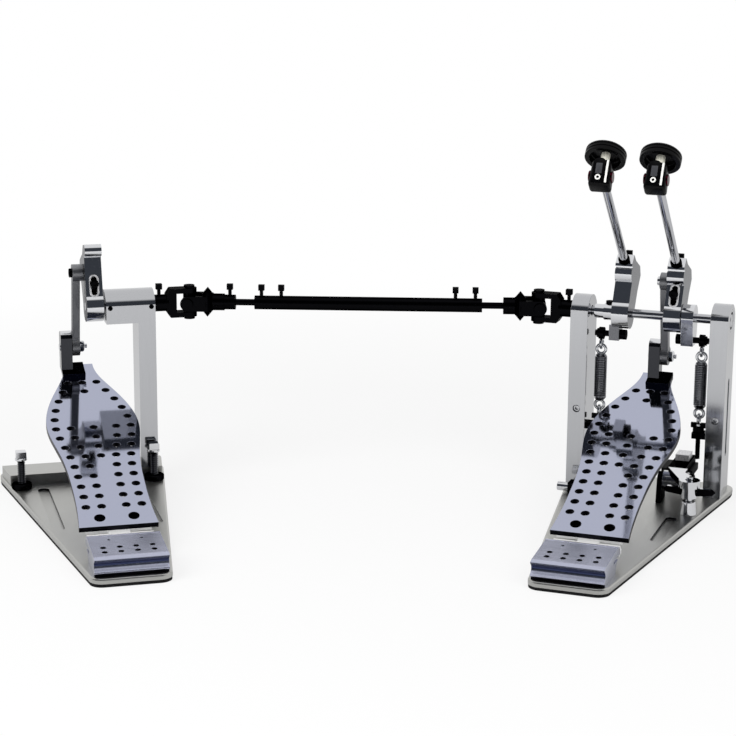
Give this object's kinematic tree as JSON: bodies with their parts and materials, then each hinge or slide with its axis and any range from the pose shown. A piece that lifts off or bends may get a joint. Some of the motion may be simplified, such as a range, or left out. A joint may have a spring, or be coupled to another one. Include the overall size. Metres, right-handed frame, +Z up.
{
  "type": "double bass drum pedal",
  "caption": "Linked bass drum pedals: perforated footboards turn beater hubs through rigid links, and a telescoping shaft with universal joints joins the slave pedal to the main one.",
  "frame": {"origin": "on the floor under the middle of the main pedal's shaft, on the main footboard's centre line", "axes": "+X along the main shaft to the player's right, +Y to the drum, +Z up"},
  "size_m": [0.7051, 0.4865, 0.3646],
  "materials": {
    "satin_aluminium": "satin machined",
    "anodised_aluminium": "polished, anodised lavender grey",
    "bright_steel": "polished",
    "shaft_steel": "ground",
    "black_steel": "black, satin",
    "spring_steel": "drawn wire",
    "rubber": "matt",
    "black_plastic": "gloss black"
  },
  "bodies": {
    "main_base": {"main_floor_mat": "rubber", "main_base_plate": "satin_aluminium", "main_posts": "satin_aluminium", "main_bearings": "shaft_steel", "main_screws": "black_steel", "main_heel_plate": "anodised_aluminium", "main_heel_hinge": "bright_steel", "spring_brackets": "black_steel", "tension_rods": "shaft_steel", "clamp_bracket": "black_steel"},
    "main_board": {"main_footboard": "anodised_aluminium", "main_hinge_leaf": "bright_steel", "main_toe_bracket": "bright_steel"},
    "main_link": {"main_link": "bright_steel"},
    "main_rotor": {"main_shaft": "shaft_steel", "main_drive_hub": "bright_steel", "main_rod_clamp": "black_steel", "right_spring_cam": "bright_steel"},
    "main_beater": {"main_beater_rod": "bright_steel", "main_beater_head": "black_plastic"},
    "right_swivel": {"right_swivel": "bright_steel"},
    "right_spring": {"right_spring": "spring_steel", "right_spring_lower_eye": "bright_steel"},
    "right_ring": {"right_spring_upper_eye": "bright_steel"},
    "aux_rotor": {"aux_shaft": "shaft_steel", "aux_hub": "bright_steel", "aux_collar": "bright_steel", "aux_rod_clamp": "black_steel", "main_outer_yoke": "black_steel"},
    "aux_beater": {"aux_beater_rod": "bright_steel", "aux_beater_head": "black_plastic"},
    "left_swivel": {"left_swivel": "bright_steel"},
    "left_spring": {"left_spring": "spring_steel", "left_spring_lower_eye": "bright_steel"},
    "left_ring": {"left_spring_upper_eye": "bright_steel"},
    "main_cross": {"main_cross": "black_steel"},
    "drive_tube": {"drive_tube": "black_steel", "main_inner_yoke": "black_steel"},
    "drive_rod": {"slave_inner_yoke": "black_steel"},
    "slave_cross": {"slave_cross": "black_steel"},
    "slave_rotor": {"slave_shaft": "shaft_steel", "slave_drive_hub": "bright_steel", "slave_stroke_screw": "black_steel", "slave_outer_yoke": "black_steel"},
    "slave_board": {"slave_footboard": "anodised_aluminium", "slave_hinge_leaf": "bright_steel", "slave_toe_bracket": "bright_steel"},
    "slave_link": {"slave_link": "bright_steel"},
    "slave_base": {"slave_floor_mat": "rubber", "slave_base_plate": "satin_aluminium", "slave_heel_plate": "anodised_aluminium", "slave_heel_hinge": "bright_steel", "slave_bar": "satin_aluminium", "slave_post": "satin_aluminium", "slave_bearings": "shaft_steel", "slave_screws": "black_steel", "slave_spurs": "bright_steel"},
    "clamp_jaw": {"clamp_jaw": "bright_steel", "clamp_pad": "rubber"},
    "wing_screw": {"wing_screw": "black_steel"}
  },
  "joints": [
    {"name": "main_rotor_turn", "type": "hinge", "parent": "main_base", "child": "main_rotor", "pos_m": [0, 0, 0.1825], "axis": [-1, 0, 0], "range_deg": [0, 46], "stiffness_Nm_per_rad": 0.5, "springref_deg": -34.38},
    {"name": "main_board_press", "type": "hinge", "parent": "main_base", "child": "main_board", "pos_m": [0, -0.248, 0.02], "axis": [-1, 0, 0], "range_deg": [0, 4]},
    {"name": "main_link_pivot", "type": "hinge", "parent": "main_board", "child": "main_link", "pos_m": [0, 0.02895, 0.13597], "axis": [-1, 0, 0], "range_deg": [0, 5.8]},
    {"name": "main_beater_height", "type": "slide", "parent": "main_rotor", "child": "main_beater", "axis": [0, -0.7349, 0.6782], "range_m": [-0.02, 0.02]},
    {"name": "right_swivel_turn", "type": "hinge", "parent": "main_rotor", "child": "right_swivel", "pos_m": [0.05, 0, 0.1605], "axis": [1, 0, 0], "range_deg": [0, 57]},
    {"name": "right_spring_swing", "type": "hinge", "parent": "main_base", "child": "right_spring", "pos_m": [0.05, 0, 0.08482], "axis": [1, 0, 0], "range_deg": [0, 11]},
    {"name": "right_spring_stretch", "type": "slide", "parent": "right_spring", "child": "right_ring", "axis": [0, 0, 1], "range_m": [0, 0.0086], "deforming": ["right_spring"]},
    {"name": "drive_length", "type": "slide", "parent": "main_base", "child": "slave_base", "axis": [-0.9537, -0.3007, 0], "range_m": [-0.018, 0.06]},
    {"name": "slave_rotor_turn", "type": "hinge", "parent": "slave_base", "child": "slave_rotor", "pos_m": [-0.44952, -0.10543, 0.1825], "axis": [-0.8192, -0.5736, 0], "range_deg": [0, 46], "stiffness_Nm_per_rad": 0.5, "springref_deg": -34.38},
    {"name": "slave_board_press", "type": "hinge", "parent": "slave_base", "child": "slave_board", "pos_m": [-0.39693, -0.37135, 0.02], "axis": [-0.8192, -0.5736, 0], "range_deg": [0, 4]},
    {"name": "slave_link_pivot", "type": "hinge", "parent": "slave_board", "child": "slave_link", "pos_m": [-0.55578, -0.14449, 0.13597], "axis": [-0.8192, -0.5736, 0], "range_deg": [0, 5.8]},
    {"name": "drive_rod_turn", "type": "hinge", "parent": "slave_base", "child": "drive_rod", "pos_m": [-0.44952, -0.10543, 0.1825], "axis": [-0.9537, -0.3007, 0], "range_deg": [0, 44.7]},
    {"name": "slave_cross_tilt", "type": "hinge", "parent": "drive_rod", "child": "slave_cross", "pos_m": [-0.44952, -0.10543, 0.1825], "axis": [-0.3007, 0.9537, 0], "range_deg": [-13, 0]},
    {"name": "drive_tube_turn", "type": "hinge", "parent": "main_base", "child": "drive_tube", "pos_m": [-0.11515, 0, 0.1825], "axis": [-0.9537, -0.3007, 0], "range_deg": [0, 44.7]},
    {"name": "main_cross_tilt", "type": "hinge", "parent": "drive_tube", "child": "main_cross", "pos_m": [-0.11515, 0, 0.1825], "axis": [-0.3007, 0.9537, 0], "range_deg": [0, 13]},
    {"name": "aux_rotor_turn", "type": "hinge", "parent": "main_base", "child": "aux_rotor", "pos_m": [0, 0, 0.1825], "axis": [-1, 0, 0], "range_deg": [0, 46]},
    {"name": "aux_beater_height", "type": "slide", "parent": "aux_rotor", "child": "aux_beater", "axis": [0, -0.7349, 0.6782], "range_m": [-0.02, 0.02]},
    {"name": "left_swivel_turn", "type": "hinge", "parent": "aux_rotor", "child": "left_swivel", "pos_m": [-0.05, 0, 0.1605], "axis": [1, 0, 0], "range_deg": [0, 57]},
    {"name": "left_spring_swing", "type": "hinge", "parent": "main_base", "child": "left_spring", "pos_m": [-0.05, 0, 0.08482], "axis": [1, 0, 0], "range_deg": [0, 11]},
    {"name": "left_spring_stretch", "type": "slide", "parent": "left_spring", "child": "left_ring", "axis": [0, 0, 1], "range_m": [0, 0.0086], "deforming": ["left_spring"]},
    {"name": "wing_screw_turn", "type": "hinge", "parent": "main_base", "child": "wing_screw", "pos_m": [0.058, -0.079, 0.03], "axis": [0, 0, 1], "range_deg": [0, 720]},
    {"name": "clamp_jaw_close", "type": "hinge", "parent": "main_base", "child": "clamp_jaw", "pos_m": [0.038, -0.042, 0.029], "axis": [-1, 0, 0], "range_deg": [0, 3.95]}
  ],
  "couplings": [
    {"joint": "main_board_press", "follows": "main_rotor_turn", "ratio": 0.08448},
    {"joint": "main_link_pivot", "follows": "main_rotor_turn", "ratio": 0.12441},
    {"joint": "right_swivel_turn", "follows": "main_rotor_turn", "ratio": 1.2364},
    {"joint": "right_spring_swing", "follows": "main_rotor_turn", "ratio": 0.23636},
    {"joint": "right_spring_stretch", "follows": "main_rotor_turn", "m_per_rad": 0.010243},
    {"joint": "slave_board_press", "follows": "slave_rotor_turn", "ratio": 0.08448},
    {"joint": "slave_link_pivot", "follows": "slave_rotor_turn", "ratio": 0.12441},
    {"joint": "drive_rod_turn", "follows": "slave_rotor_turn", "ratio": 0.9698},
    {"joint": "slave_cross_tilt", "follows": "slave_rotor_turn", "ratio": -0.28},
    {"joint": "drive_tube_turn", "follows": "slave_rotor_turn", "ratio": 0.9698},
    {"joint": "main_cross_tilt", "follows": "slave_rotor_turn", "ratio": 0.28},
    {"joint": "aux_rotor_turn", "follows": "slave_rotor_turn", "ratio": 1},
    {"joint": "left_swivel_turn", "follows": "slave_rotor_turn", "ratio": 1.2364},
    {"joint": "left_spring_swing", "follows": "slave_rotor_turn", "ratio": 0.23636},
    {"joint": "left_spring_stretch", "follows": "slave_rotor_turn", "m_per_rad": 0.010243},
    {"joint": "clamp_jaw_close", "follows": "wing_screw_turn", "ratio": 0.0054}
  ]
}
